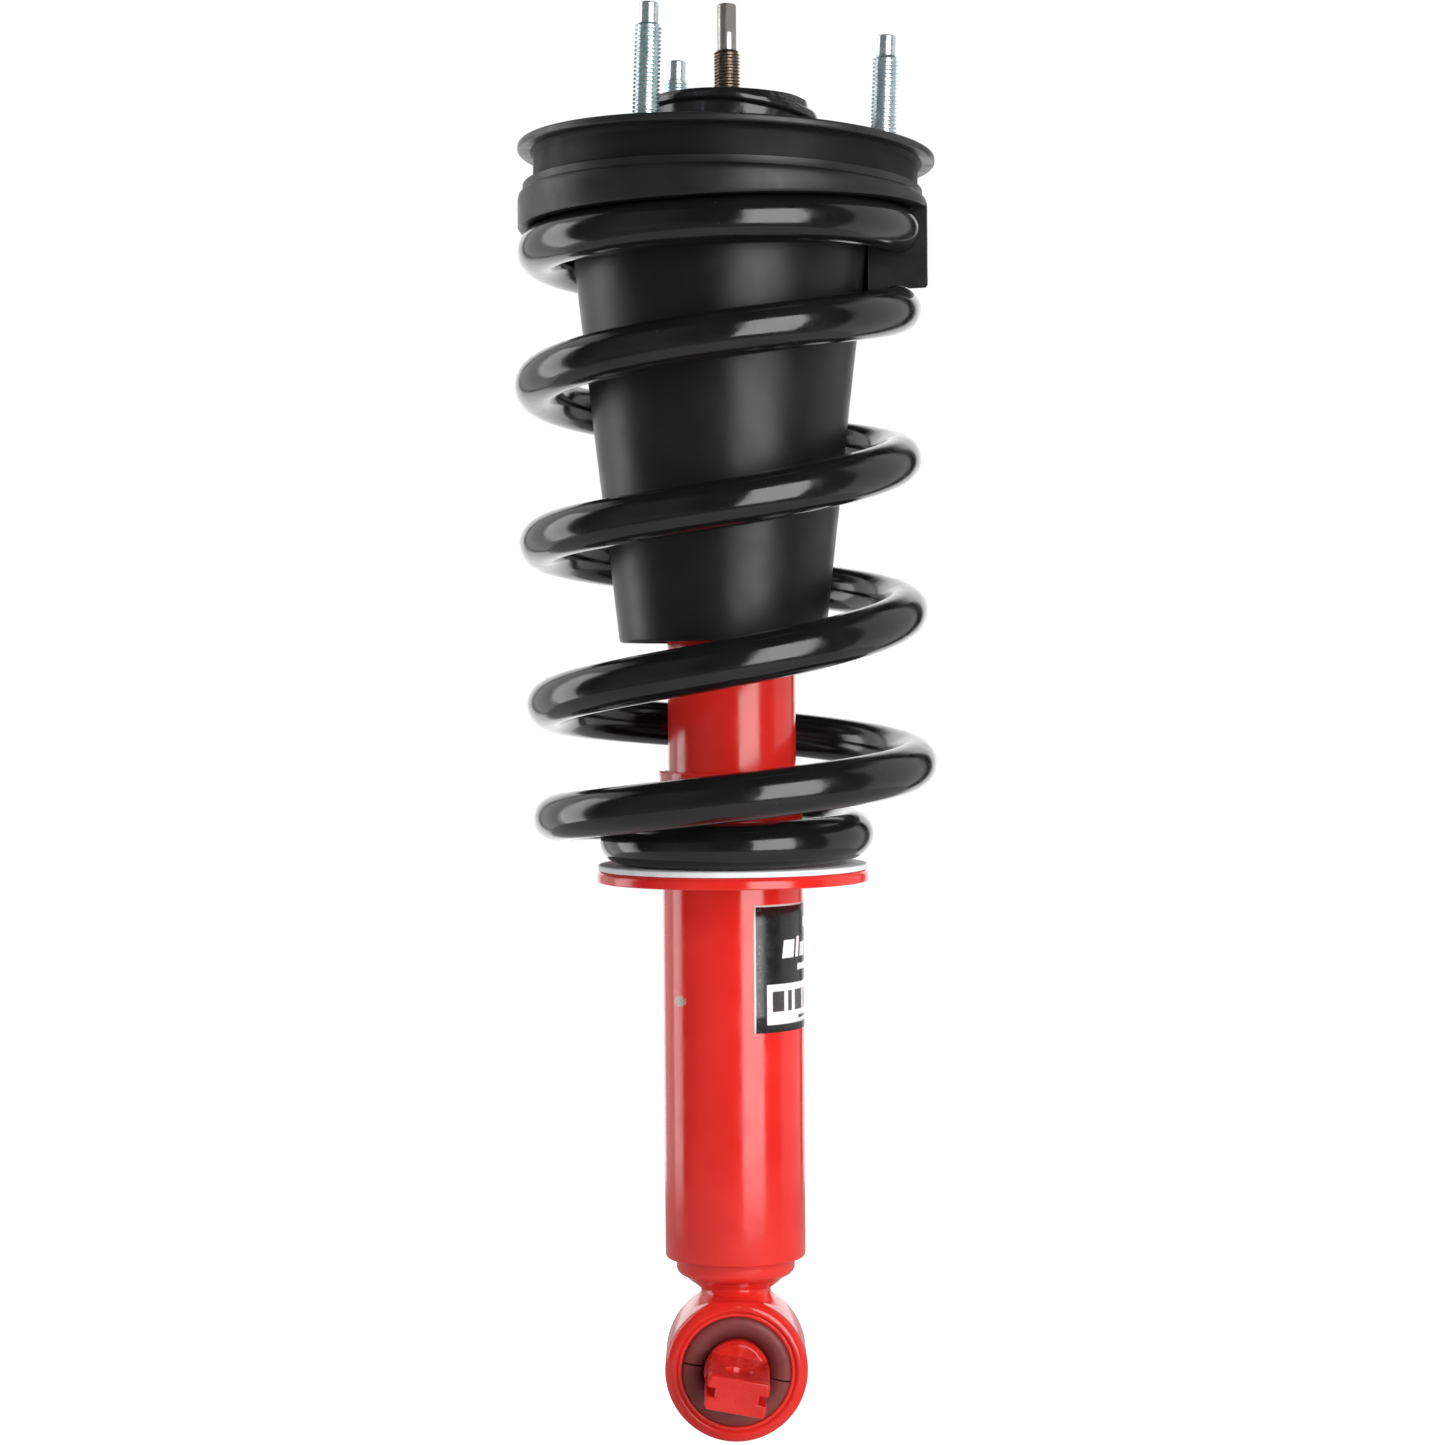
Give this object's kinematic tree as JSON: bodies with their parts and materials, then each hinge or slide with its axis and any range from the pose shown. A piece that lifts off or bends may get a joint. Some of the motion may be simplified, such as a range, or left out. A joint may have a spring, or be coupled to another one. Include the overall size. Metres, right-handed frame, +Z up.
{
  "type": "suspension strut assembly",
  "caption": "Coil-over suspension strut: damper in a coil spring with a three-stud rubber top mount above and a bar-pin bushed eye below.",
  "frame": {"origin": "centre of the lower eye, midway between the bar pin's two bolt holes", "axes": "+Z up the strut's axis towards the top mount, Y along the bar pin"},
  "size_m": [0.1624, 0.161, 0.5513],
  "materials": {
    "red_paint": "gloss red paint with a fine orange peel",
    "pin_paint": "red paint thinly sprayed over a forged skin",
    "bushing_rubber": "rubber with red overspray",
    "zinc": "bright zinc plate",
    "bare_steel": "machined bare steel",
    "bronze": "bearing bronze",
    "white_nylon": "moulded nylon",
    "label": null,
    "black_coat": "gloss black coating",
    "gloss_rubber": "moulded rubber with a sheen",
    "black_rubber": "satin moulded rubber",
    "bump_foam": "cellular foam"
  },
  "bodies": {
    "upper_mount": {"mount_plate": "black_coat", "upper_spring_seat": "black_coat", "mount_studs": "zinc", "mount_bush": "gloss_rubber", "bush_retainer": "black_coat", "bump_stop_cup": "black_coat", "bump_stop": "bump_foam", "upper_spring_isolator": "black_rubber", "dust_boot": "black_rubber", "coil_spring": "black_coat"},
    "piston_rod": {"piston_rod": "bare_steel", "piston": "bare_steel", "piston_band": "bronze", "piston_shims": "bare_steel", "piston_nut": "zinc", "rebound_stop": "bare_steel", "lower_washer": "zinc", "centre_sleeve": "bare_steel", "upper_washer": "zinc", "rod_nut": "zinc"},
    "strut_tube": {"lower_eye": "red_paint", "bushing_shell": "red_paint", "eye_bushing": "bushing_rubber", "base_cup": "red_paint", "outer_tube": "red_paint", "tube_cap": "zinc", "seat_sleeve": "red_paint", "lower_spring_seat": "red_paint", "seat_ring": "white_nylon", "tube_label": "label", "pressure_tube": "bare_steel", "foot_valve": "bare_steel", "rod_guide": "bare_steel", "guide_bush": "bronze", "rod_seal": "black_rubber"},
    "bar_pin": {"bar_pin": "pin_paint"}
  },
  "joints": [
    {"name": "damper_stroke", "type": "slide", "parent": "upper_mount", "child": "strut_tube", "axis": [0, 0, 1], "range_m": [0, 0.095], "stiffness_N_per_m": 80000, "springref_m": -0.05, "deforming": ["coil_spring", "dust_boot"]},
    {"name": "rod_twist", "type": "hinge", "parent": "upper_mount", "child": "piston_rod", "pos_m": [0, 0, 0.4666], "axis": [0, 0, 1], "range_deg": [-10, 10], "stiffness_Nm_per_rad": 40},
    {"name": "bar_pin_twist", "type": "hinge", "parent": "strut_tube", "child": "bar_pin", "pos_m": [0, 0, 0], "axis": [0, 1, 0], "range_deg": [-20, 20], "stiffness_Nm_per_rad": 60}
  ]
}
